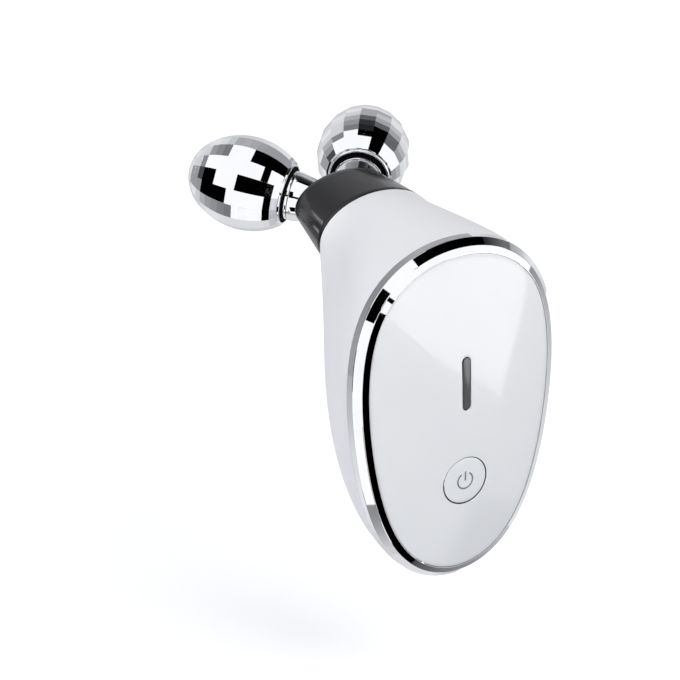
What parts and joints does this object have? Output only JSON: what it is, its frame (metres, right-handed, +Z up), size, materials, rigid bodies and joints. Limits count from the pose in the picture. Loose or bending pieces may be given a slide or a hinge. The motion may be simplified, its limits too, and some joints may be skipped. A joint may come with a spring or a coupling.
{
  "type": "facial toning device",
  "caption": "Hand-held facial toning device: egg-shaped body with a sprung power button and faceted chrome rollers that spin freely on a forked neck.",
  "frame": {"origin": "centre of the bounding box", "axes": "+X to the right as one faces the front cover, +Y from the front cover to the rollers, +Z up along the face towards the neck"},
  "size_m": [0.0552, 0.079, 0.088],
  "materials": {
    "shell_white": "satin white, moulded",
    "ring_chrome": "mirror chrome plate with flat bevels",
    "cover_white": "high-gloss white",
    "window_smoke": "smoked, gloss",
    "guide_clear": "milky, translucent",
    "frame_grey": "moulded, matt",
    "screw_steel": "zinc plated",
    "board_green": "solder mask",
    "chip_black": "matt",
    "coil_ferrite": "ferrite, matt",
    "led_white": "clear resin",
    "socket_steel": "plated sheet",
    "foam_dark": "foam tape",
    "cell_foil": "foil pouch",
    "plug_ivory": "moulded",
    "lead_sleeve": "soft sleeve",
    "cap_dark": "gloss dark grey",
    "yoke_chrome": "mirror chrome plate",
    "roller_chrome": "mirror chrome plate",
    "hub_brass": "turned",
    "axle_steel": "ground",
    "sleeve_nylon": "natural",
    "seal_black": "matt"
  },
  "bodies": {
    "body": {"body_shell": "shell_white", "trim_ring": "ring_chrome", "front_cover": "cover_white", "light_window": "window_smoke", "light_guide": "guide_clear", "inner_frame": "frame_grey", "frame_screws": "screw_steel", "board_screws": "screw_steel", "yoke_screws": "screw_steel", "circuit_board": "board_green", "battery_board": "board_green", "circuit_chips": "chip_black", "tact_switch": "chip_black", "boost_coil": "coil_ferrite", "led_row": "led_white", "charging_socket": "socket_steel", "battery_foam": "foam_dark", "battery_cell": "cell_foil", "battery_plug": "plug_ivory", "battery_leads": "lead_sleeve", "electrode_leads": "lead_sleeve", "neck_cap": "cap_dark", "yoke": "yoke_chrome", "left_axle": "axle_steel", "right_axle": "axle_steel", "left_clip": "axle_steel", "right_clip": "axle_steel", "left_sleeve": "sleeve_nylon", "right_sleeve": "sleeve_nylon", "left_spacer": "sleeve_nylon", "right_spacer": "sleeve_nylon", "left_seal": "seal_black", "right_seal": "seal_black"},
    "power_button": {"power_button": "cover_white", "switch_plunger": "chip_black"},
    "left_roller": {"left_roller": "roller_chrome", "left_collar": "roller_chrome", "left_hub": "hub_brass", "left_inner_bush": "hub_brass", "left_outer_bush": "hub_brass"},
    "right_roller": {"right_roller": "roller_chrome", "right_collar": "roller_chrome", "right_hub": "hub_brass", "right_inner_bush": "hub_brass", "right_outer_bush": "hub_brass"}
  },
  "joints": [
    {"name": "power_button_press", "type": "slide", "parent": "body", "child": "power_button", "axis": [0, 1, 0], "range_m": [0, 0.0004], "stiffness_N_per_m": 1500, "springref_m": -0.0004},
    {"name": "left_roller_spin", "type": "hinge", "parent": "body", "child": "left_roller", "pos_m": [0, 0.0077, 0.02951], "axis": [-0.6239, 0.7672, 0.1491], "continuous": true},
    {"name": "right_roller_spin", "type": "hinge", "parent": "body", "child": "right_roller", "pos_m": [0, 0.0077, 0.02951], "axis": [0.6239, 0.7672, 0.1491], "continuous": true}
  ]
}
